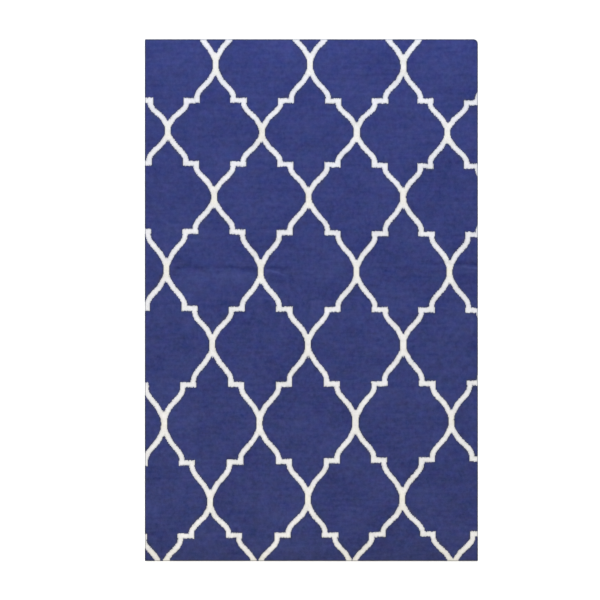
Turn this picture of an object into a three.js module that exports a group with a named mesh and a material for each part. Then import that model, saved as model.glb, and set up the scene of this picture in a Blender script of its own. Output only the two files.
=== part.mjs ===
// A kilim: a flat-woven wool rug without pile, lying flat on the floor.
// Millimetres, +Z up, +Y along the warp. The origin is the middle of the underside.

import * as THREE from 'three';

// Driving sizes of the rug
const RUG_WIDTH = 1524;
const RUG_LENGTH = 2388;
const CLOTH_THICKNESS = 4;

// The corner at the far right is worn round, and the others are crisp
const CRISP_CORNER_RADIUS = 4;
const WORN_CORNER_RADIUS = 20;
const WORN_CORNER_STEPS = 8;

// The outer warps and the end wefts turn over in a soft round edge
const EDGE_ROUNDING = 1.6;
const EDGE_ROUNDING_STEPS = 3;

const NAVY_WOOL = 0x353b78;
const WOOL_ROUGHNESS = 0.95;

// Outline of the cloth, seen from above and drawn anticlockwise
function rugOutline() {
  const right = RUG_WIDTH / 2;
  const far = RUG_LENGTH / 2;
  const corners = [
    { x: right, y: -far, radius: CRISP_CORNER_RADIUS, startAngle: -Math.PI / 2 },
    { x: right, y: far, radius: WORN_CORNER_RADIUS, startAngle: 0 },
    { x: -right, y: far, radius: CRISP_CORNER_RADIUS, startAngle: Math.PI / 2 },
    { x: -right, y: -far, radius: CRISP_CORNER_RADIUS, startAngle: Math.PI },
  ];
  const outline = new THREE.Shape();
  for (const corner of corners) {
    const centreX = corner.x - Math.sign(corner.x) * corner.radius;
    const centreY = corner.y - Math.sign(corner.y) * corner.radius;
    const endAngle = corner.startAngle + Math.PI / 2;
    outline.absarc(centreX, centreY, corner.radius, corner.startAngle, endAngle, false);
  }
  outline.closePath();
  return outline;
}

// One cloth of even thickness, flat below, with its rim rounded above and below
function rugGeometry() {
  const cloth = new THREE.ExtrudeGeometry(rugOutline(), {
    depth: CLOTH_THICKNESS - 2 * EDGE_ROUNDING,
    curveSegments: WORN_CORNER_STEPS,
    bevelEnabled: true,
    bevelThickness: EDGE_ROUNDING,
    bevelSize: EDGE_ROUNDING,
    bevelOffset: -EDGE_ROUNDING,
    bevelSegments: EDGE_ROUNDING_STEPS,
  });
  cloth.translate(0, 0, EDGE_ROUNDING);
  return cloth;
}

const wovenWool = new THREE.MeshStandardMaterial({
  color: NAVY_WOOL,
  roughness: WOOL_ROUGHNESS,
  metalness: 0,
});

const kilim = new THREE.Group();
const rug = new THREE.Mesh(rugGeometry(), wovenWool);
rug.name = 'rug';
kilim.add(rug);

export default kilim;
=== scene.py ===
import bisect
import itertools
import math

import bpy
import numpy as np
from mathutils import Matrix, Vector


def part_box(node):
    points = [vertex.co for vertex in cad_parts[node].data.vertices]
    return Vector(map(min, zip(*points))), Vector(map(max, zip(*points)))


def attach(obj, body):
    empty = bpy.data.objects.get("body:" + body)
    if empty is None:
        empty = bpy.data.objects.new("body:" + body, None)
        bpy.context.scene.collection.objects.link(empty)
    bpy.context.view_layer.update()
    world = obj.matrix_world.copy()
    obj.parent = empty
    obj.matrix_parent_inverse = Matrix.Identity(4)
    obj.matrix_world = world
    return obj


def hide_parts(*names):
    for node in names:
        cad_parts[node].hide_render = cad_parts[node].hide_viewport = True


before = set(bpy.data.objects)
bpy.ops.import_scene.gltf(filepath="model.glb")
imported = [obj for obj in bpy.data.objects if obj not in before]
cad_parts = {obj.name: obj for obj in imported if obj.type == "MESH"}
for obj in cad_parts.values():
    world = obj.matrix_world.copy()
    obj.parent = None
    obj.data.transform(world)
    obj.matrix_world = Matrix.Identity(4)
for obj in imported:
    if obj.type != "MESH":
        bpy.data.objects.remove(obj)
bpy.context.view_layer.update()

MM = 0.001


# The camera hangs high above the floor and looks straight down, with the rug's far end at
# the top of the picture. The picture spans this much at the height of the cloth, and the rug
# lies a little to the right of its middle.
PICTURE_SPAN = 2746 * MM
CAMERA_HEIGHT = 14
SENSOR_WIDTH = 36
PICTURE_MIDDLE = (-52 * MM, 0.6 * MM)

rug_low, rug_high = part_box("rug")
camera_data = bpy.data.cameras.new("overhead_camera")
camera_data.sensor_width = SENSOR_WIDTH
camera_data.lens = SENSOR_WIDTH * (CAMERA_HEIGHT - rug_high.z) / PICTURE_SPAN
camera = bpy.data.objects.new("overhead_camera", camera_data)
camera.location = (*PICTURE_MIDDLE, CAMERA_HEIGHT)
bpy.context.collection.objects.link(camera)
bpy.context.scene.camera = camera


# The trellis: ivory wool weft, woven in one cloth with the navy ground over a cotton warp.
# Its lines are pairs of mirrored ogee branches that meet in short upright necks, and half
# way between two necks each branch steps sideways through a small flat bar.
RUG_WIDTH = rug_high.x - rug_low.x
RUG_LENGTH = rug_high.y - rug_low.y
CLOTH_THICKNESS = rug_high.z - rug_low.z
WARPS = 480
PICKS = 1504
WARP_PITCH = RUG_WIDTH / WARPS
PICK_PITCH = RUG_LENGTH / PICKS

# Each row of necks and the bars below it, from the far end to the near end, in millimetres
# from the rug's middle. The weft lines bow, so a row tilts by so many millimetres a metre.
# The weaver drew each row anew: single necks lie lower by their drop, and the branches above
# and below the necks swing out this much wider than the drawn branch.
MM_PER_METRE = 1000
TRELLIS_ROWS = (
    {"neck_y": 1420, "tilt": 0, "necks": (-652, -222, 207, 633), "drops": (0, 0, 0, 0),
     "above": 0, "below": 0, "bar_y": 1243, "bar_tilt": -17},
    {"neck_y": 1077, "tilt": 0, "necks": (-866, -439, -6, 422, 845), "drops": (0, -1, -2, 4, 0),
     "above": 1, "below": -2, "bar_y": 913, "bar_tilt": -2},
    {"neck_y": 770, "tilt": -8, "necks": (-656, -226, 207, 623), "drops": (-2, 5, 0, -1),
     "above": 0, "below": 3, "bar_y": 620, "bar_tilt": -10},
    {"neck_y": 470, "tilt": -10, "necks": (-880, -445, -13, 420, 850), "drops": (0, 1, 0, -3, 0),
     "above": 1, "below": 5, "bar_y": 308, "bar_tilt": -10},
    {"neck_y": 131, "tilt": -8, "necks": (-663, -231, 207, 633), "drops": (0, 5, 1, -5),
     "above": 0, "below": 2, "bar_y": -42, "bar_tilt": -6},
    {"neck_y": -207, "tilt": 0, "necks": (-889, -453, -15, 421, 852), "drops": (0, 0, -1, -2, 0),
     "above": -2, "below": 5, "bar_y": -384, "bar_tilt": 5},
    {"neck_y": -560, "tilt": 10, "necks": (-675, -237, 202, 641), "drops": (0, 0, 0, 0),
     "above": 0, "below": -1, "bar_y": -737, "bar_tilt": 13},
    {"neck_y": -912, "tilt": 13, "necks": (-894, -464, -15, 417, 880), "drops": (0, 7, -2, 7, 0),
     "above": 0, "below": -3, "bar_y": -1075, "bar_tilt": 8},
    {"neck_y": -1232, "tilt": 15, "necks": (-685, -247, 187, 649), "drops": (-6, 0, -3, 0),
     "above": 4, "below": 0, "bar_y": -1420, "bar_tilt": 12},
)


def neck_places(row):
    """The middle of each neck of a row, in millimetres from the rug's middle."""
    return [
        np.array((x, row["neck_y"] + row["tilt"] * x / MM_PER_METRE - drop), float)
        for x, drop in zip(row["necks"], row["drops"])
    ]


# One drawn branch in millimetres, as (across, along) from the middle of its neck to its bar,
# whose middle lies at the reach. Every branch of the rug is this one, stretched to its bar.
# Two branches leave a neck together, and a few more ivory stitches fill the fork between them.
# Necks that lie farther apart across than the longest side share no bar.
BRANCH = (
    (1.3, 0), (1.4, 10), (2.6, 22), (8, 37), (17.8, 55), (28.5, 74), (43.2, 91), (61, 110),
    (75.7, 128), (84, 146), (88, 171),
)
BRANCH_REACH = (110, 171)
BRANCH_STEPS = 4
LINE_HALF_WIDTH = 11.5
FORK_REACH = 52
FORK_HALF_WIDTH = 2.6
BAR_HALF_LENGTH = 37
BAR_HALF_THICKNESS = 11.2
LONGEST_SIDE_ACROSS = 300

# The cloth was pulled at one place near the right selvedge, so the bar there hangs lower
PULLED_ROW = 1
PULLED_FROM = 650
PULLED_BY = 9

# The hand of the weaver: the drawing wanders slowly, and each run of stitches may end a pick
# off. Runs that would be shorter than these picks, in the cloth or at its ends, are left out.
WANDER = 1.6
WANDER_PITCH = 55
CHART_SEED = 31
SHORTEST_RUN = 3
SHORTEST_END_RUN = 5


def branch_curve():
    """The branch as a smooth line through its charted points."""
    points = np.array(BRANCH, float)
    padded = np.vstack([2 * points[0] - points[1], points, 2 * points[-1] - points[-2]])
    curve = []
    for k in range(1, len(padded) - 2):
        before, start, end, after = padded[k - 1:k + 3]
        for t in np.arange(BRANCH_STEPS) / BRANCH_STEPS:
            curve.append(
                0.5 * (2 * start + (end - before) * t
                       + (2 * before - 5 * start + 4 * end - after) * t ** 2
                       + (3 * start - before - 3 * end + after) * t ** 3)
            )
    return np.array(curve + [points[-1]])


def wander_field(rng, shape, pitch):
    """Smooth random numbers from -1 to 1 over the stitches, in patches of about pitch."""
    knots = [int(math.ceil(size / pitch)) + 2 for size in (RUG_WIDTH / MM, RUG_LENGTH / MM)]
    coarse = rng.uniform(-1, 1, knots)
    at_x = np.linspace(0, knots[0] - 1, shape[0])
    at_y = np.linspace(0, knots[1] - 1, shape[1])
    rows = np.array([np.interp(at_y, np.arange(knots[1]), line) for line in coarse])
    return np.array([np.interp(at_x, np.arange(knots[0]), line) for line in rows.T]).T


def trellis_drawing():
    """The trellis as strokes, each (start, end, half width), and bars, each (middle, slope)."""
    strokes = []
    bars = []
    curve = branch_curve()
    swing = np.sin(math.pi * curve[:, 1] / BRANCH_REACH[1]) ** 2
    fork = np.array((0, FORK_REACH / BRANCH_REACH[1]))
    for number, (upper, lower) in enumerate(zip(TRELLIS_ROWS, TRELLIS_ROWS[1:])):
        for start, end in itertools.product(neck_places(upper), neck_places(lower)):
            if abs(end[0] - start[0]) > LONGEST_SIDE_ACROSS:
                continue
            bar_x = (start[0] + end[0]) / 2
            bar_y = upper["bar_y"] + upper["bar_tilt"] * bar_x / MM_PER_METRE
            if number == PULLED_ROW and bar_x > PULLED_FROM:
                bar_y -= PULLED_BY
            bar = np.array((bar_x, bar_y))
            bars.append((bar, upper["bar_tilt"] / MM_PER_METRE))
            for neck, wider in ((start, upper["below"]), (end, lower["above"])):
                line = neck + curve * (bar - neck) / BRANCH_REACH
                line[:, 0] += swing * wider * np.sign(bar_x - neck[0])
                strokes += [(a, b, LINE_HALF_WIDTH) for a, b in zip(line, line[1:])]
                if abs(neck[1]) * MM < RUG_LENGTH / 2:
                    strokes.append((neck, neck + fork * (bar - neck), FORK_HALF_WIDTH))
    return strokes, bars


def ivory_stitches():
    """The weaver's chart: for each warp and each pick, whether its stitch is ivory."""
    rng = np.random.default_rng(CHART_SEED)
    warp_x = ((np.arange(WARPS) + 0.5) * WARP_PITCH - RUG_WIDTH / 2) / MM
    pick_y = ((np.arange(PICKS) + 0.5) * PICK_PITCH - RUG_LENGTH / 2) / MM
    shape = (WARPS, PICKS)
    x = warp_x[:, None] + WANDER * wander_field(rng, shape, WANDER_PITCH)
    y = pick_y[None, :] + WANDER * wander_field(rng, shape, WANDER_PITCH)
    ivory = np.zeros(shape, bool)

    def window(low, high, margin):
        columns = slice(*np.searchsorted(warp_x, (low[0] - margin, high[0] + margin)))
        picks = slice(*np.searchsorted(pick_y, (low[1] - margin, high[1] + margin)))
        return columns, picks

    strokes, bars = trellis_drawing()
    for start, end, half_width in strokes:
        near = window(np.minimum(start, end), np.maximum(start, end), 2 * half_width)
        along = end - start
        past_x, past_y = x[near] - start[0], y[near] - start[1]
        share = np.clip((past_x * along[0] + past_y * along[1]) / (along @ along), 0, 1)
        away = np.hypot(past_x - share * along[0], past_y - share * along[1])
        ivory[near] |= away < half_width
    reach = np.array((BAR_HALF_LENGTH, BAR_HALF_THICKNESS))
    for middle, slope in bars:
        near = window(middle - reach, middle + reach, BAR_HALF_THICKNESS)
        past_x, past_y = x[near] - middle[0], y[near] - middle[1]
        along_bar = np.abs(past_x) < BAR_HALF_LENGTH
        ivory[near] |= along_bar & (np.abs(past_y - slope * past_x) < BAR_HALF_THICKNESS)
    return ivory


def stitch_runs(ivory):
    """For each warp, its runs of one colour from the near end, each (first pick, is ivory)."""
    rng = np.random.default_rng(CHART_SEED + 1)
    columns = []
    for column in ivory:
        changes = np.flatnonzero(np.diff(column.astype(np.int8))) + 1
        changes = changes + rng.integers(-1, 2, len(changes))
        borders = [0]
        for change in changes:
            if change < SHORTEST_END_RUN or change > PICKS - SHORTEST_END_RUN:
                continue
            if change - borders[-1] < SHORTEST_RUN:
                borders.pop()
            else:
                borders.append(int(change))
        runs = []
        for start, end in zip(borders, borders[1:] + [PICKS]):
            is_ivory = bool(column[start:end].mean() > 0.5)
            if not runs or runs[-1][1] != is_ivory:
                runs.append((start, is_ivory))
        columns.append(runs)
    return columns


# Rows where the cloth is drawn across: even stations, a few at both ends, where the last
# wefts round over, more of them on the warps at the corners, and close ones by the old fold,
# at these millimetres from it. The outer warps have extra lines where they round over.
STATIONS = 16
EDGE_LINES = (0.3 * MM, 0.9 * MM)
END_ROWS = (0.4 * MM, 1.4 * MM)
CORNER_ROWS = (4 * MM, 7 * MM, 11 * MM, 15 * MM, 20 * MM)
CORNER_WARPS = 7
FOLD_ROWS = (-45, -28, -17, -10, -5, 0, 5, 10, 17, 28, 45)

# Old fold lines in the cloth, in millimetres: where each starts and ends across the rug, its
# place along it in the middle, how far it slants, how wide the cloth is lifted, and how high
FOLDS = (
    {"start": -650, "end": -225, "place": 149, "slant": -0.02, "width": 15, "height": 1.5},
    {"start": -225, "end": -80, "place": 132, "slant": -0.22, "width": 15, "height": 1.0},
    {"start": 60, "end": 250, "place": 150, "slant": 0.12, "width": 20, "height": 0.8},
    {"start": 520, "end": 790, "place": 165, "slant": 0.0, "width": 15, "height": 1.2},
)

# A fold line isn't straight: across the rug these two waves swing it to either side
FOLD_WAVES = (
    {"size": 1.9 * MM, "length": 97 * MM, "turn": 0.4},
    {"size": 1.1 * MM, "length": 37 * MM, "turn": 2.0},
)


def fold_line(fold, x):
    """The place along the rug of a fold line at x, and whether the line reaches x."""
    middle = (fold["start"] + fold["end"]) * MM / 2
    place = fold["place"] * MM + fold["slant"] * (x - middle)
    for wave in FOLD_WAVES:
        place += wave["size"] * math.sin(x * math.tau / wave["length"] + wave["turn"])
    return place, fold["start"] * MM < x < fold["end"] * MM


# The wool is a little greyer this close to the other colour, ivory (True) and navy (False).
# A run of stitches is drawn with as few rows as let that shade follow its borders this closely.
BORDER_WIDTH = {True: 7 * MM, False: 10 * MM}
SHADE_TOLERANCE = {True: 1.8 * MM, False: 4.2 * MM}
MOST_SHADE_ROWS = 3
FARTHEST_WARPS = 12


def border_distance(ivory):
    """How far each stitch is from the nearest stitch of the other colour."""
    picks = np.arange(PICKS)
    new_run = np.ones(ivory.shape, bool)
    new_run[:, 1:] = ivory[:, 1:] != ivory[:, :-1]
    first = np.maximum.accumulate(np.where(new_run, picks, 0), axis=1)
    new_run_down = np.ones(ivory.shape, bool)
    new_run_down[:, :-1] = new_run[:, 1:]
    last = np.minimum.accumulate(np.where(new_run_down, picks, PICKS)[:, ::-1], axis=1)[:, ::-1]
    below = np.where(first > 0, picks - first + 0.5, np.inf)
    above = np.where(last < PICKS - 1, last - picks + 0.5, np.inf)
    along = np.minimum(below, above) * PICK_PITCH
    nearest = along.copy()
    for step in range(1, FARTHEST_WARPS + 1):
        all_but_first = slice(step, None)
        all_but_last = slice(None, -step)
        for here, there in ((all_but_first, all_but_last), (all_but_last, all_but_first)):
            same = ivory[here] == ivory[there]
            away = np.hypot(step * WARP_PITCH, along[there])
            away = np.where(same, away, (step - 0.5) * WARP_PITCH)
            nearest[here] = np.minimum(nearest[here], away)
    return nearest


def shade_rows(distance, present, start, end, is_ivory):
    """The picks where a run needs rows, besides those present, for the shade by its borders."""
    inner = distance[start:end]
    places = np.arange(start, end + 1)
    value = np.minimum(np.append(inner, inner[-1]), np.insert(inner, 0, inner[0]))
    chosen = sorted({start, end}.union(pick for pick in present if start < pick < end))
    width = BORDER_WIDTH[is_ivory]
    for _ in range(MOST_SHADE_ROWS):
        shown = np.interp(places, chosen, value[np.array(chosen) - start])
        error = np.abs(np.minimum(value, width) - np.minimum(shown, width))
        worst = int(error.argmax())
        if error[worst] < SHADE_TOLERANCE[is_ivory]:
            break
        bisect.insort(chosen, start + worst)
    return chosen


def pick_at(y):
    return int(round((y + RUG_LENGTH / 2) / PICK_PITCH))


def cloth_rows():
    """Places along the rug where vertices may lie: every pick, and the rows that round the ends."""
    ends = [sign * (RUG_LENGTH / 2 - inset) for inset in END_ROWS for sign in (-1, 1)]
    picks = np.linspace(-RUG_LENGTH / 2, RUG_LENGTH / 2, PICKS + 1)
    rows = np.sort(np.concatenate([picks, ends]))
    end_rows = np.searchsorted(rows, ends)
    return rows, np.searchsorted(rows, picks), {int(row) for row in end_rows}


def warp_lines(warp):
    """Lines along one warp, each as (its place in warps, its place across the rug).

    They are a groove, the warp's crest and the next groove.
    """
    left = warp * WARP_PITCH - RUG_WIDTH / 2
    right = left + WARP_PITCH
    lines = [(warp, left), (warp + 0.5, left + WARP_PITCH / 2), (warp + 1, right)]
    if warp == 0:
        lines[1:1] = [(inset / WARP_PITCH, left + inset) for inset in EDGE_LINES]
    if warp == WARPS - 1:
        edge = [(WARPS - inset / WARP_PITCH, right - inset) for inset in EDGE_LINES]
        lines[2:2] = reversed(edge)
    return lines


def between(ordered, low, high):
    return ordered[bisect.bisect_left(ordered, low):bisect.bisect_right(ordered, high)]


def strip_faces(left, right):
    """Faces between two chains of points, each (place along, vertex), that start and end level."""
    faces = []
    i = j = 0
    while i < len(left) - 1 or j < len(right) - 1:
        left_next = left[i + 1][0] if i < len(left) - 1 else math.inf
        right_next = right[j + 1][0] if j < len(right) - 1 else math.inf
        if left_next == right_next:
            faces.append((left[i][1], right[j][1], right[j + 1][1], left[i + 1][1]))
            i, j = i + 1, j + 1
        elif right_next < left_next:
            faces.append((left[i][1], right[j][1], right[j + 1][1]))
            j += 1
        else:
            faces.append((left[i][1], right[j][1], left[i + 1][1]))
            i += 1
    return faces


def woven_areas(columns, distances):
    """The flat areas of both colours, as {is_ivory: (vertices, faces)}."""
    rows, row_of_pick, end_rows = cloth_rows()
    stations = {int(round(k * PICKS / STATIONS)) for k in range(STATIONS + 1)}
    corners = {pick_at(sign * (RUG_LENGTH / 2 - inset)) for inset in CORNER_ROWS for sign in (-1, 1)}
    cuts = []
    for warp, runs in enumerate(columns):
        x = (warp + 0.5) * WARP_PITCH - RUG_WIDTH / 2
        starts = [start for start, _ in runs]
        picks = stations.union(starts)
        if min(warp, WARPS - 1 - warp) < CORNER_WARPS:
            picks |= corners
        for fold in FOLDS:
            place, reached = fold_line(fold, x)
            if reached:
                picks |= {pick_at(place + inset * MM) for inset in FOLD_ROWS}
        for (start, is_ivory), end in zip(runs, starts[1:] + [PICKS]):
            picks.update(shade_rows(distances[warp], picks, start, end, is_ivory))
        cuts.append(sorted(end_rows.union(int(row_of_pick[pick]) for pick in picks)))
    groove_cuts = [cuts[0]]
    groove_cuts += [sorted(set(a) | set(b)) for a, b in zip(cuts, cuts[1:])]
    groove_cuts += [cuts[-1]]
    areas = {is_ivory: ({}, [], []) for is_ivory in (False, True)}

    def chain(area, line, low, high, places):
        """The vertices of an area on one line between two rows, each as (row, vertex)."""
        numbers, vertices, _ = area
        key, line_x = line
        found = []
        for row in between(places, low, high):
            if (key, row) not in numbers:
                numbers[key, row] = len(vertices)
                vertices.append((line_x, rows[row], 0))
            found.append((row, numbers[key, row]))
        return found

    for warp, runs in enumerate(columns):
        lines = warp_lines(warp)
        ends = [int(row_of_pick[pick]) for pick, _ in runs] + [int(row_of_pick[PICKS])]
        for (_, is_ivory), low, high in zip(runs, ends, ends[1:]):
            area = areas[is_ivory]
            faces = area[2]
            levels = between(cuts[warp], low, high)
            for left, right in zip(lines, lines[1:]):
                left_rows = groove_cuts[warp] if left[0] == warp else cuts[warp]
                right_rows = groove_cuts[warp + 1] if right[0] == warp + 1 else cuts[warp]
                for start, end in zip(levels, levels[1:]):
                    left_chain = chain(area, left, start, end, left_rows)
                    right_chain = chain(area, right, start, end, right_rows)
                    faces.extend(strip_faces(left_chain, right_chain))
    return {is_ivory: (vertices, faces) for is_ivory, (_, vertices, faces) in areas.items()}


# Relief of the cloth: every warp stands as a fine rib with a groove on each side, above and
# below. The rim rounds over, one corner is worn round, and the cloth lies in faint ripples
# and an old fold that lift it a little off the floor.
CRISP_CORNER = 4 * MM
WORN_CORNER = 20 * MM

# Sizes of the relief, by the names of the inputs they are given to
RELIEF = {
    "Warp pitch": WARP_PITCH,
    "Thickness": CLOTH_THICKNESS,
    "Groove depth": 0.45 * MM,
    "Rim rounding": 2 * MM,
    "Rim thickness": 0.8 * MM,
    "Selvedge swell": 0.35 * MM,
    "Half width": RUG_WIDTH / 2,
    "Half length": RUG_LENGTH / 2,
    "Crisp corner": CRISP_CORNER,
    "Worn corner": WORN_CORNER,
    "Ripple height": 1.1 * MM,
    "Ripples per metre": 2.6,
    "Seed": 7.0,
}
SELVEDGE_WARPS = 2
RIPPLE_FROM = 0.45
RIPPLE_TO = 0.8
FOLD_FADES_FROM = 0.6
SHARP_EDGE = math.radians(55)

# Places closer than this are one, and a point this small a share of a warp from a groove is in it
SAME_PLACE = 0.01 * MM
GROOVE_REACH = 0.02
ALMOST_ONE = 0.9

# Bare margin round each part of the map that the finish is kept on, as a share of its side
BAKE_MARGIN = 0.004


def add_node(tree, kind, inputs=(), **settings):
    """A node with its settings, and its inputs by place or name as values or as links."""
    made = tree.nodes.new(kind)
    for name, value in settings.items():
        setattr(made, name, value)
    for place, value in dict(inputs).items():
        if isinstance(value, bpy.types.NodeSocket):
            tree.links.new(value, made.inputs[place])
        else:
            made.inputs[place].default_value = value
    return made


def maths(tree, operation, *values, clamp=False):
    made = add_node(
        tree, "ShaderNodeMath", enumerate(values), operation=operation, use_clamp=clamp,
    )
    return made.outputs[0]


def choice(tree, share, low, high):
    """Low where the share is 0, high where it is 1, and a blend of the two between."""
    return add_node(tree, "ShaderNodeMix", {0: share, 2: low, 3: high}).outputs[0]


def point(tree, x, y, z=0.0):
    return add_node(tree, "ShaderNodeCombineXYZ", {0: x, 1: y, 2: z}).outputs[0]


def smooth_between(tree, value, low, high):
    """0 up to low and 1 past high, with a soft step between them."""
    made = add_node(
        tree, "ShaderNodeMapRange", {0: value, 1: low, 2: high}, interpolation_type="SMOOTHSTEP",
    )
    return made.outputs[0]


def off_fold(tree, x, y, fold):
    """How far a place is from a fold line, and a share that fades to 0 at the line's ends."""
    middle = (fold["start"] + fold["end"]) * MM / 2
    half = (fold["end"] - fold["start"]) * MM / 2
    from_middle = maths(tree, "SUBTRACT", x, middle)
    line = maths(tree, "MULTIPLY_ADD", from_middle, fold["slant"], fold["place"] * MM)
    for wave in FOLD_WAVES:
        turn = maths(tree, "MULTIPLY_ADD", x, math.tau / wave["length"], wave["turn"])
        line = maths(tree, "MULTIPLY_ADD", maths(tree, "SINE", turn), wave["size"], line)
    reach = maths(tree, "DIVIDE", maths(tree, "ABSOLUTE", from_middle), half)
    fade = maths(tree, "SUBTRACT", 1, smooth_between(tree, reach, FOLD_FADES_FROM, 1))
    return maths(tree, "SUBTRACT", y, line), fade


def ribbed_cloth_tree():
    """Turns a flat woven area into closed cloth with ribs, a round rim, ripples and folds."""
    tree = bpy.data.node_groups.new("ribbed cloth", "GeometryNodeTree")
    sockets = tree.interface
    sockets.new_socket("Geometry", in_out="OUTPUT", socket_type="NodeSocketGeometry")
    sockets.new_socket("Geometry", in_out="INPUT", socket_type="NodeSocketGeometry")
    for name in RELIEF:
        sockets.new_socket(name, in_out="INPUT", socket_type="NodeSocketFloat")
    sockets.new_socket("Material", in_out="INPUT", socket_type="NodeSocketMaterial")
    given = tree.nodes.new("NodeGroupInput").outputs
    half_width = given["Half width"]
    half_length = given["Half length"]
    warp_pitch = given["Warp pitch"]

    def node(kind, inputs=(), **settings):
        return add_node(tree, kind, inputs, **settings)

    def field(operation, *values, clamp=False):
        return maths(tree, operation, *values, clamp=clamp)

    def sides(vector):
        return node("ShaderNodeSeparateXYZ", {0: vector}).outputs

    def stored(geometry, name, value, data_type="FLOAT", domain="POINT"):
        made = node(
            "GeometryNodeStoreNamedAttribute",
            {"Geometry": geometry, "Name": name, "Value": value},
            data_type=data_type, domain=domain,
        )
        return made.outputs[0]

    # How far each point is from the border with the other colour
    flat_place = sides(node("GeometryNodeInputPosition").outputs[0])
    last_x = field("SUBTRACT", half_width, SAME_PLACE)
    last_y = field("SUBTRACT", half_length, SAME_PLACE)
    inside_x = field("LESS_THAN", field("ABSOLUTE", flat_place["X"]), last_x)
    inside_y = field("LESS_THAN", field("ABSOLUTE", flat_place["Y"]), last_y)
    face_count = node("GeometryNodeInputMeshEdgeNeighbors").outputs["Face Count"]
    one_face = field("LESS_THAN", face_count, 2)
    is_border = field("MULTIPLY", one_face, field("MULTIPLY", inside_x, inside_y))
    border = node(
        "GeometryNodeSeparateGeometry",
        {"Geometry": given["Geometry"], "Selection": is_border}, domain="EDGE",
    )
    nearest = node(
        "GeometryNodeProximity", {"Geometry": border.outputs["Selection"]}, target_element="EDGES",
    )
    measured = stored(given["Geometry"], "border", nearest.outputs["Distance"])

    # The flat area becomes a closed slab
    raised = node(
        "GeometryNodeExtrudeMesh",
        {"Mesh": measured, "Offset": point(tree, 0.0, 0.0, 1.0),
         "Offset Scale": given["Thickness"], "Individual": False},
        mode="FACES",
    )
    under = node("GeometryNodeFlipFaces", {"Mesh": measured})
    slab = node("GeometryNodeJoinGeometry")
    tree.links.new(raised.outputs["Mesh"], slab.inputs[0])
    tree.links.new(under.outputs["Mesh"], slab.inputs[0])
    closed = node(
        "GeometryNodeMergeByDistance", {"Geometry": slab.outputs[0], "Distance": SAME_PLACE},
    )
    place = sides(node("GeometryNodeInputPosition").outputs[0])
    across = field("ABSOLUTE", place["X"])
    along = field("ABSOLUTE", place["Y"])
    half_full = field("MULTIPLY", given["Thickness"], 0.5)
    is_top = field("GREATER_THAN", place["Z"], half_full)

    # The map that the finish is kept on: the upper face on the left half, the lower on the
    # right, and the walls on a strip at the right edge
    share_x = field("MULTIPLY_ADD", field("DIVIDE", place["X"], half_width), 0.5, 0.5)
    share_y = field("MULTIPLY_ADD", field("DIVIDE", place["Y"], half_length), 0.5, 0.5)
    facing = sides(node("GeometryNodeInputNormal").outputs[0])
    face_up = node("GeometryNodeFieldOnDomain", {0: facing["Z"]}, domain="FACE").outputs[0]
    is_under = field("LESS_THAN", face_up, -0.5)
    is_wall = field("LESS_THAN", field("ABSOLUTE", face_up), 0.5)
    half_map = 0.5 - 3 * BAKE_MARGIN
    flat_u = field("MULTIPLY_ADD", share_x, half_map, BAKE_MARGIN)
    flat_u = field("MULTIPLY_ADD", is_under, half_map + 2 * BAKE_MARGIN, flat_u)
    flat_v = field("MULTIPLY_ADD", share_y, 1 - 2 * BAKE_MARGIN, BAKE_MARGIN)
    wall_height = field("DIVIDE", place["Z"], given["Thickness"])
    wall_u = field("MULTIPLY_ADD", wall_height, BAKE_MARGIN, 1 - 2 * BAKE_MARGIN)
    wall_v = field("MULTIPLY", field("ADD", share_x, share_y), 0.5)
    on_map = point(tree, choice(tree, is_wall, flat_u, wall_u), choice(tree, is_wall, flat_v, wall_v))
    mapped = stored(closed.outputs[0], "OFBake", on_map, data_type="FLOAT2", domain="CORNER")

    # Ribs: half a round from groove to groove
    turn = field("DIVIDE", field("ADD", place["X"], half_width), warp_pitch)
    from_groove = field("PINGPONG", turn, 0.5)
    in_groove = field("SUBTRACT", 1, field("SINE", field("MULTIPLY", from_groove, math.pi)))
    last_groove = field("SUBTRACT", half_width, field("MULTIPLY", warp_pitch, 0.5))
    inner = field("LESS_THAN", across, last_groove)
    groove_mark = field("MULTIPLY", inner, field("LESS_THAN", from_groove, GROOVE_REACH))
    marked = stored(mapped, "groove", groove_mark)

    # Half the cloth's thickness: the rim rounds over and the selvedge is a little thicker
    to_side = field("SUBTRACT", half_width, across)
    to_rim = field("MINIMUM", to_side, field("SUBTRACT", half_length, along))
    rim_share = field("SUBTRACT", 1, field("DIVIDE", to_rim, given["Rim rounding"]), clamp=True)
    roundness = field("SQRT", field("SUBTRACT", 1, field("MULTIPLY", rim_share, rim_share)))
    half_rim = field("MULTIPLY", given["Rim thickness"], 0.5)
    half = field("MULTIPLY_ADD", roundness, field("SUBTRACT", half_full, half_rim), half_rim)
    fullness = field("DIVIDE", field("SUBTRACT", half, half_rim), half_full)
    selvedge = field("MULTIPLY", warp_pitch, SELVEDGE_WARPS)
    swell = field("SUBTRACT", 1, field("DIVIDE", to_side, selvedge), clamp=True)
    swell = field("MULTIPLY", field("MULTIPLY", swell, given["Selvedge swell"]), fullness)
    groove = field("MULTIPLY", field("MULTIPLY", in_groove, given["Groove depth"]), fullness)
    lower = field("SUBTRACT", half, groove)
    upper = field("ADD", lower, swell)

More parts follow.
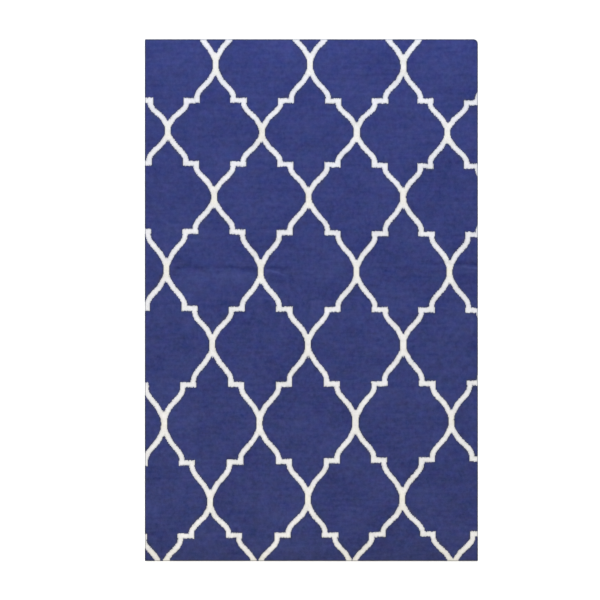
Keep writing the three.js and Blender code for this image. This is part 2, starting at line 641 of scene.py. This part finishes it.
    # Ripples and folds lift the whole cloth, and between them it lies on the floor
    ripple = node(
        "ShaderNodeTexNoise",
        {"Vector": point(tree, place["X"], place["Y"]), "W": given["Seed"],
         "Scale": given["Ripples per metre"], "Detail": 1.0},
        noise_dimensions="4D",
    ).outputs[0]
    ripple = smooth_between(tree, ripple, RIPPLE_FROM, RIPPLE_TO)
    lift = field("MULTIPLY", ripple, given["Ripple height"])
    for fold in FOLDS:
        off, fade = off_fold(tree, place["X"], place["Y"], fold)
        share = field("DIVIDE", off, fold["width"] * MM)
        share = field("MULTIPLY", share, share)
        hump = field("MULTIPLY", share, field("EXPONENT", field("SUBTRACT", 1, share)))
        lift = field("MULTIPLY_ADD", field("MULTIPLY", hump, fade), fold["height"] * MM, lift)
    from_middle = choice(tree, is_top, field("MULTIPLY", lower, -1), upper)
    height = field("ADD", field("ADD", from_middle, half_full), lift)

    # Corners: the square corner is drawn in to an arc
    is_right = field("GREATER_THAN", place["X"], 0)
    is_far = field("GREATER_THAN", place["Y"], 0)
    far_right = field("MULTIPLY", is_right, is_far)
    radius = choice(tree, far_right, given["Crisp corner"], given["Worn corner"])
    centre_x = field("SUBTRACT", half_width, radius)
    centre_y = field("SUBTRACT", half_length, radius)
    past_x = field("SUBTRACT", across, centre_x)
    past_y = field("SUBTRACT", along, centre_y)
    in_corner = field("GREATER_THAN", field("MINIMUM", past_x, past_y), 0)
    squares = field("MULTIPLY_ADD", past_x, past_x, field("MULTIPLY", past_y, past_y))
    drawn_in = field("DIVIDE", field("MAXIMUM", past_x, past_y), field("SQRT", squares))
    shrink = choice(tree, in_corner, 1.0, drawn_in)
    new_x = field("MULTIPLY_ADD", past_x, shrink, centre_x)
    new_y = field("MULTIPLY_ADD", past_y, shrink, centre_y)
    new_x = field("MULTIPLY", field("SIGN", place["X"]), new_x)
    new_y = field("MULTIPLY", field("SIGN", place["Y"]), new_y)
    new_place = point(tree, new_x, new_y, height)
    formed = node("GeometryNodeSetPosition", {"Geometry": marked, "Position": new_place})

    # Grooves and the steep inner walls are creases, and all else is smooth. An edge reads the
    # mean of the marks at its two ends.
    angle = node("GeometryNodeInputMeshEdgeAngle").outputs[0]
    steep = field("GREATER_THAN", angle, SHARP_EDGE)
    in_line = node("GeometryNodeInputNamedAttribute", {"Name": "groove"}, data_type="FLOAT")
    both_ends = field("GREATER_THAN", in_line.outputs[0], ALMOST_ONE)
    rounded = node(
        "GeometryNodeSetShadeSmooth",
        {"Geometry": formed.outputs[0], "Selection": field("MAXIMUM", steep, both_ends),
         "Shade Smooth": False},
        domain="EDGE",
    )
    bare = node("GeometryNodeRemoveAttribute", {"Geometry": rounded.outputs[0], "Name": "groove"})
    whole = node("GeometryNodeRealizeInstances", {"Geometry": bare.outputs[0]})
    finished = node(
        "GeometryNodeSetMaterial",
        {"Geometry": whole.outputs[0], "Material": given["Material"]},
    )
    node("NodeGroupOutput", {0: finished.outputs[0]})
    return tree


def woven_piece(name, area, material):
    """A finished piece of cloth: the flat area run through the relief and made a plain mesh."""
    vertices, faces = area
    flat = bpy.data.meshes.new(name + "_flat")
    flat.from_pydata(vertices, [], faces)
    flat.shade_smooth()
    sketch = bpy.data.objects.new(name + "_flat", flat)
    bpy.context.collection.objects.link(sketch)
    relief = sketch.modifiers.new("ribbed cloth", "NODES")
    relief.node_group = ribbed_cloth
    values = {**RELIEF, "Material": material}
    for item in ribbed_cloth.interface.items_tree:
        if item.in_out == "INPUT" and item.name in values:
            relief[item.identifier] = values[item.name]
    view = bpy.context.evaluated_depsgraph_get()
    cloth = bpy.data.meshes.new_from_object(sketch.evaluated_get(view), depsgraph=view)
    cloth.name = name
    bpy.data.objects.remove(sketch)
    bpy.data.meshes.remove(flat)
    piece = bpy.data.objects.new(name, cloth)
    bpy.context.collection.objects.link(piece)
    return piece


# Wool weft over the warps, beaten down hard: each pick shows as small beads, one on every
# second warp, and the next pick's beads lie between them. The yarn is spun and plied, so fine
# slanting lines and loose fibres show on each bead.
BEAD_HEIGHT = 0.35 * MM
BUMP_STRENGTH = 0.8
PLY_PITCH = 0.55 * MM
PLY_SLANT = 0.55
PLY_TONE = 0.25
PLY_RELIEF = 0.12
FIBRES = (1.6 * MM, 0.4 * MM, 3.0, 0.6)
FIBRE_RELIEF = 0.5

# A bead is a half round both ways, so this is the mean of its bulge
MEAN_BULGE = (2 / math.pi) ** 2

# The picks wander this far along the rug, in patches of this size
PICK_WANDER = 3 * MM
PICK_WANDER_SIZE = (40 * MM, 30 * MM)

# The roughness follows the mottles, from smoothest to roughest as they swing this far
SMOOTHEST = 0.82
ROUGHEST = 0.98
ROUGHNESS_SWING = 0.3

# Hand-dyed wool varies from pick to pick in streaks across the rug, and in mottles and clouds.
# Each kind has its size across and along the rug, and maybe its detail and its roughness. A
# share makes a kind that much weaker than the wool's own streaks or mottles.
HUES = (50 * MM, 38 * MM, 3.0, 0.6)
STREAKS = (40 * MM, 20 * MM, 3.0, 0.5)
LONG_STREAKS = (260 * MM, 14 * MM)
LONG_STREAK_SHARE = 0.8
MOTTLES = (25 * MM, 27 * MM, 4.0, 0.7)
GRAINS = (13 * MM, 16 * MM)
GRAIN_SHARE = 0.7
CLOUDS = (240 * MM, 170 * MM)
CLOUD_SHARE = 0.8
FLECKS = (6 * MM, 4 * MM, 1.0)
FLECK_FROM = 0.2
FLECK_TO = 0.32
FLECK_SHARE = 0.4

# Painted shade darkens the wool along the rim, where the cloth rounds over, and the wool is
# darker towards the near end
RIM_SHADE = 0.6
RIM_SHADE_WIDTH = 6 * MM
RIM_SHADE_CORE = 0.3
NEAR_END_REACH = 130 * MM
NEAR_END_DARKENING = (0.955, 0.945, 0.905)

# Painted shade and painted light along the old fold, where its slopes turn from and toward
# the lamp: lines in millimetres as in the table of folds, with how far each spreads and how much
# it darkens or lightens the wool
FOLD_SHADING_UNEVENNESS = 1.6
PAINTED_FOLD_SHADING = (
    {"start": -646, "end": -470, "place": 152, "slant": 0.0, "spread": 8, "shade": -0.26},
    {"start": -450, "end": -225, "place": 149, "slant": -0.04, "spread": 8.5, "shade": -0.3},
    {"start": -340, "end": -200, "place": 136, "slant": -0.08, "spread": 10, "shade": -0.34},
    {"start": -660, "end": -225, "place": 108, "slant": 0.0, "spread": 24, "shade": 0.3},
    {"start": -222, "end": -85, "place": 149, "slant": 0.0, "spread": 8, "shade": -0.26},
    {"start": -225, "end": -100, "place": 127, "slant": -0.26, "spread": 5, "shade": 0.42},
    {"start": -210, "end": -60, "place": 92, "slant": 0.0, "spread": 15, "shade": -0.26},
    {"start": -110, "end": 170, "place": 128, "slant": 0.0, "spread": 40, "shade": 0.1},
    {"start": 525, "end": 640, "place": 167, "slant": 0.0, "spread": 8, "shade": -0.22},
    {"start": 640, "end": 800, "place": 168, "slant": 0.0, "spread": 10, "shade": -0.38},
    {"start": 640, "end": 800, "place": 149, "slant": 0.0, "spread": 5, "shade": 0.36},
    {"start": 640, "end": 800, "place": 100, "slant": 0.0, "spread": 17, "shade": -0.3},
)


def to_outline(tree, x, y):
    """How far a place lies inside the rug's outline, with its rounded corners."""

    def field(operation, *values):
        return maths(tree, operation, *values)

    far_right = field("MULTIPLY", field("GREATER_THAN", x, 0), field("GREATER_THAN", y, 0))
    radius = field("MULTIPLY_ADD", far_right, WORN_CORNER - CRISP_CORNER, CRISP_CORNER)
    past_x = field("ADD", field("SUBTRACT", field("ABSOLUTE", x), RUG_WIDTH / 2), radius)
    past_y = field("ADD", field("SUBTRACT", field("ABSOLUTE", y), RUG_LENGTH / 2), radius)
    out_x = field("MAXIMUM", past_x, 0)
    out_y = field("MAXIMUM", past_y, 0)
    squares = field("MULTIPLY_ADD", out_x, out_x, field("MULTIPLY", out_y, out_y))
    inner = field("MINIMUM", field("MAXIMUM", past_x, past_y), 0)
    return field("SUBTRACT", radius, field("ADD", field("SQRT", squares), inner))


def woven_wool(name, wool):
    """The finish of the cloth in one colour, from a table of that wool's colours and strengths."""
    material = bpy.data.materials.new(name)
    material.use_nodes = True
    tree = material.node_tree
    tree.nodes.clear()
    place = add_node(tree, "ShaderNodeTexCoord").outputs["Object"]
    x, y, _ = add_node(tree, "ShaderNodeSeparateXYZ", {0: place}).outputs

    def field(operation, *values):
        return maths(tree, operation, *values)

    def vectors(operation, *values):
        made = add_node(tree, "ShaderNodeVectorMath", enumerate(values), operation=operation)
        return made.outputs[0]

    def blend(share, low, high):
        made = add_node(tree, "ShaderNodeMix", {0: share, 4: low, 5: high}, data_type="VECTOR")
        return made.outputs[1]

    def patches(size_x, size_y, detail=2.0, roughness=0.5):
        scale = (1 / size_x, 1 / size_y, 1 / size_x)
        stretched = add_node(tree, "ShaderNodeMapping", {"Vector": place, "Scale": scale}).outputs[0]
        return add_node(
            tree, "ShaderNodeTexNoise",
            {"Vector": stretched, "Scale": 1.0, "Detail": detail, "Roughness": roughness},
        )

    def noise(*kind):
        """Noise from -0.5 to 0.5 in patches of one kind."""
        return field("SUBTRACT", patches(*kind).outputs[0], 0.5)

    # Beads of weft
    turn = field("DIVIDE", field("ADD", x, RUG_WIDTH / 2), WARP_PITCH)
    from_groove = field("PINGPONG", turn, 0.5)
    odd_warp = field("MODULO", field("FLOOR", turn), 2)
    along = field("MULTIPLY_ADD", noise(*PICK_WANDER_SIZE), PICK_WANDER, y)
    row = field("DIVIDE", field("ADD", along, RUG_LENGTH / 2), 2 * PICK_PITCH)
    row = field("MULTIPLY_ADD", odd_warp, 0.5, row)
    bead = field("PINGPONG", row, 0.5)
    bead_round = field("SINE", field("MULTIPLY", bead, math.pi))
    rib_round = field("SINE", field("MULTIPLY", from_groove, math.pi))
    bulge = field("MULTIPLY", bead_round, rib_round)
    bead_number = point(tree, field("FLOOR", turn), field("FLOOR", row))
    bead_tone = add_node(
        tree, "ShaderNodeTexWhiteNoise", {"Vector": bead_number}, noise_dimensions="2D",
    ).outputs["Value"]
    ply = field("MULTIPLY_ADD", x, PLY_SLANT, along)
    ply = field("SINE", field("MULTIPLY", ply, math.tau / PLY_PITCH))
    ply = field("MULTIPLY", ply, bulge)
    fibres = noise(*FIBRES)

    # Colour: a drift along the rug that is painted light, brighter and cooler toward the far lamp,
    # and its shade by the necks and by the border
    drift = add_node(
        tree, "ShaderNodeMapRange", {0: y, 1: -RUG_LENGTH / 2, 2: RUG_LENGTH / 2},
    ).outputs[0]
    ground = blend(drift, wool["near"], wool["far"])
    if "neck" in wool:
        at_neck = add_node(tree, "ShaderNodeAttribute", attribute_name="neck").outputs["Fac"]
        ground = blend(at_neck, ground, wool["neck"])
    from_border = add_node(tree, "ShaderNodeAttribute", attribute_name="border").outputs["Fac"]
    from_outline = to_outline(tree, x, y)
    from_border = field("MINIMUM", from_border, from_outline)
    inside = smooth_between(tree, from_border, 0, wool["border_width"])
    ground = vectors("MULTIPLY", ground, blend(inside, wool["border_shade"], (1, 1, 1)))
    hues = vectors("SUBTRACT", patches(*HUES).outputs["Color"], (0.5, 0.5, 0.5))
    ground = vectors("MULTIPLY_ADD", hues, wool["tint"], ground)

    # The dye's streaks and mottles, the fibres, and painted shade and painted light along the old
    # fold
    streaks = noise(*STREAKS)
    mottles = noise(*MOTTLES)
    flecks = smooth_between(tree, noise(*FLECKS), FLECK_FROM, FLECK_TO)
    streak = wool["streak"]
    mottle = wool["mottle"]
    more = field("MULTIPLY", streaks, streak)
    for tone, strength in (
        (noise(*LONG_STREAKS), LONG_STREAK_SHARE * streak),
        (mottles, mottle),
        (noise(*GRAINS), GRAIN_SHARE * mottle),
        (noise(*CLOUDS), CLOUD_SHARE * mottle),
        (flecks, FLECK_SHARE * mottle),
        (fibres, wool["fibres"]),
        (ply, PLY_TONE * wool["fibres"]),
        (field("SUBTRACT", bead_tone, 0.5), wool["bead_tone"]),
    ):
        more = field("MULTIPLY_ADD", tone, strength, more)
    # Painted shade and painted light along the old fold, made uneven by the streaks
    uneven = field("MULTIPLY_ADD", streaks, FOLD_SHADING_UNEVENNESS, 1)
    for mark in PAINTED_FOLD_SHADING:
        off, fade = off_fold(tree, x, y, mark)
        share = field("DIVIDE", off, mark["spread"] * MM)
        ridge = field("EXPONENT", field("MULTIPLY", field("MULTIPLY", share, share), -1))
        strength = field("MULTIPLY", field("MULTIPLY", ridge, fade), uneven)
        more = field("MULTIPLY_ADD", strength, mark["shade"] * wool["fold_shading_strength"], more)
    ground = vectors("MULTIPLY_ADD", more, wool["fibre"], ground)

    # Darker towards the near end, painted shade between the beads, and painted shade along the rim
    near_end = -RUG_LENGTH / 2
    past_near_end = smooth_between(tree, y, near_end, near_end + NEAR_END_REACH)
    ground = vectors("MULTIPLY", ground, blend(past_near_end, NEAR_END_DARKENING, (1, 1, 1)))
    # Painted shade in the grooves between the beads
    from_mean = field("SUBTRACT", bulge, MEAN_BULGE)
    shade = field("MULTIPLY_ADD", from_mean, wool["groove_shade"], 1)
    # Painted shade along the rim, where the cloth rounds over
    rim = smooth_between(tree, from_outline, RIM_SHADE_CORE * RIM_SHADE_WIDTH, RIM_SHADE_WIDTH)
    shade = field("MULTIPLY", shade, field("MULTIPLY_ADD", rim, 1 - RIM_SHADE, RIM_SHADE))
    colour = add_node(
        tree, "ShaderNodeVectorMath", {0: ground, "Scale": shade}, operation="SCALE",
    ).outputs[0]

    # Roughness and relief finer than the ribs
    rough = add_node(
        tree, "ShaderNodeMapRange",
        {0: mottles, 1: -ROUGHNESS_SWING, 2: ROUGHNESS_SWING, 3: SMOOTHEST, 4: ROUGHEST},
    ).outputs[0]
    height = field("MULTIPLY_ADD", fibres, FIBRE_RELIEF, bulge)
    height = field("MULTIPLY_ADD", ply, PLY_RELIEF, height)
    bump = add_node(
        tree, "ShaderNodeBump",
        {"Height": height, "Distance": BEAD_HEIGHT, "Strength": BUMP_STRENGTH},
    )
    cloth = add_node(
        tree, "ShaderNodeBsdfPrincipled",
        {"Base Color": colour, "Roughness": rough, "Normal": bump.outputs[0],
         "Specular IOR Level": 0.2, "Sheen Weight": wool["sheen"], "Sheen Roughness": 0.5},
    )
    add_node(tree, "ShaderNodeOutputMaterial", {0: cloth.outputs[0]})
    return material


stitches = ivory_stitches()
woven = woven_areas(stitch_runs(stitches), border_distance(stitches))
ribbed_cloth = ribbed_cloth_tree()

# The ivory wool: its colours at the rug's near and far ends, cooler at the far end as painted
# light, and by the necks, its shade by the border, how far its hue and its tone vary, and how
# strong each kind of variation is
IVORY = {
    "near": (0.648, 0.632, 0.617),
    "far": (0.618, 0.614, 0.660),
    "neck": (0.670, 0.643, 0.573),
    "border_shade": (0.76, 0.77, 0.80),
    "border_width": BORDER_WIDTH[True],
    "tint": (0.044, 0.0264, 0.106),
    "fibre": (0.678, 0.67, 0.67),
    # How strongly the painted shade and light of the fold show on this wool
    "fold_shading_strength": 0.2,
    "fibres": 0.16,
    "bead_tone": 0.06,
    "streak": 0.15,
    "mottle": 0.2,
    "groove_shade": 0.36,
    "sheen": 0.05,
}

# The ivory is yellower round each neck, this many millimetres across and along
NECK_REACH = (24, 42)
ivory_wool = woven_wool("ivory_wool", IVORY)
trellis = woven_piece("ivory_trellis", woven[True], ivory_wool)
places = np.array([vertex.co[:2] for vertex in trellis.data.vertices]) / MM
nearness = np.zeros(len(places))
for row in TRELLIS_ROWS:
    for neck in neck_places(row):
        away = (places - neck) / NECK_REACH
        nearness = np.maximum(nearness, np.exp(-(away ** 2).sum(axis=1)))
trellis.data.attributes.new("neck", "FLOAT", "POINT").data.foreach_set("value", nearness)
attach(trellis, "root")
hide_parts("rug")


# The navy ground fills every tile between the trellis lines. It is the same cloth, woven
# with navy wool weft that turns back wherever the ivory begins.
NAVY = {
    # The near and far colours hold painted light: brighter and bluer toward the far lamp
    "near": (0.0232, 0.0302, 0.117),
    "far": (0.0241, 0.0327, 0.146),
    "border_shade": (1.2, 1.08, 0.72),
    "border_width": BORDER_WIDTH[False],
    "tint": (0.0187, 0.0068, 0.0638),
    "fibre": (0.0255, 0.0298, 0.0698),
    # How strongly the painted shade and light of the fold show on this wool
    "fold_shading_strength": 1.0,
    "fibres": 0.5,
    "bead_tone": 0.14,
    "streak": 0.55,
    "mottle": 1.0,
    "groove_shade": 0.5,
    "sheen": 0.05,
}
navy_wool = woven_wool("navy_wool", NAVY)
ground = woven_piece("navy_ground", woven[False], navy_wool)
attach(ground, "root")
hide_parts("rug")


# A plain pale floor under the rug, and soft studio light: a cool lamp low at its far end, a
# weaker warm one at its near end, and an even white sky.
FLOOR_REACH = 15
FLOOR_WHITE = 0.93
FLOOR_ROUGHNESS = 0.9
SKY_STRENGTH = 0.8

corners = [(-1, -1), (1, -1), (1, 1), (-1, 1)]
floor_mesh = bpy.data.meshes.new("floor")
floor_mesh.from_pydata(
    [(side_x * FLOOR_REACH, side_y * FLOOR_REACH, 0) for side_x, side_y in corners],
    [], [(0, 1, 2, 3)],
)
floor = bpy.data.objects.new("floor", floor_mesh)
bpy.context.collection.objects.link(floor)
floor_paint = bpy.data.materials.new("floor_paint")
floor_paint.use_nodes = True
paint = floor_paint.node_tree.nodes["Principled BSDF"]
paint.inputs["Base Color"].default_value = (FLOOR_WHITE, FLOOR_WHITE, FLOOR_WHITE, 1)
paint.inputs["Roughness"].default_value = FLOOR_ROUGHNESS
floor_mesh.materials.append(floor_paint)

world = bpy.data.worlds.new("studio")
world.use_nodes = True
sky = world.node_tree.nodes["Background"]
sky.inputs["Color"].default_value = (1, 1, 1, 1)
sky.inputs["Strength"].default_value = SKY_STRENGTH
bpy.context.scene.world = world


def soft_light(name, place, size, power, colour):
    """A round studio lamp that shines at the rug's middle."""
    lamp = bpy.data.lights.new(name, "AREA")
    lamp.shape = "DISK"
    lamp.size = size
    lamp.energy = power
    lamp.color = colour
    light = bpy.data.objects.new(name, lamp)
    light.location = place
    light.rotation_euler = (-Vector(place)).to_track_quat("-Z", "Y").to_euler()
    bpy.context.collection.objects.link(light)


soft_light("far_light", place=(0.4, 6.6, 3.6), size=2, power=400, colour=(0.88, 0.95, 1))
soft_light("near_light", place=(-1.5, -3.5, 4), size=3, power=110, colour=(1, 0.95, 0.84))
bpy.context.scene.view_settings.view_transform = "Standard"
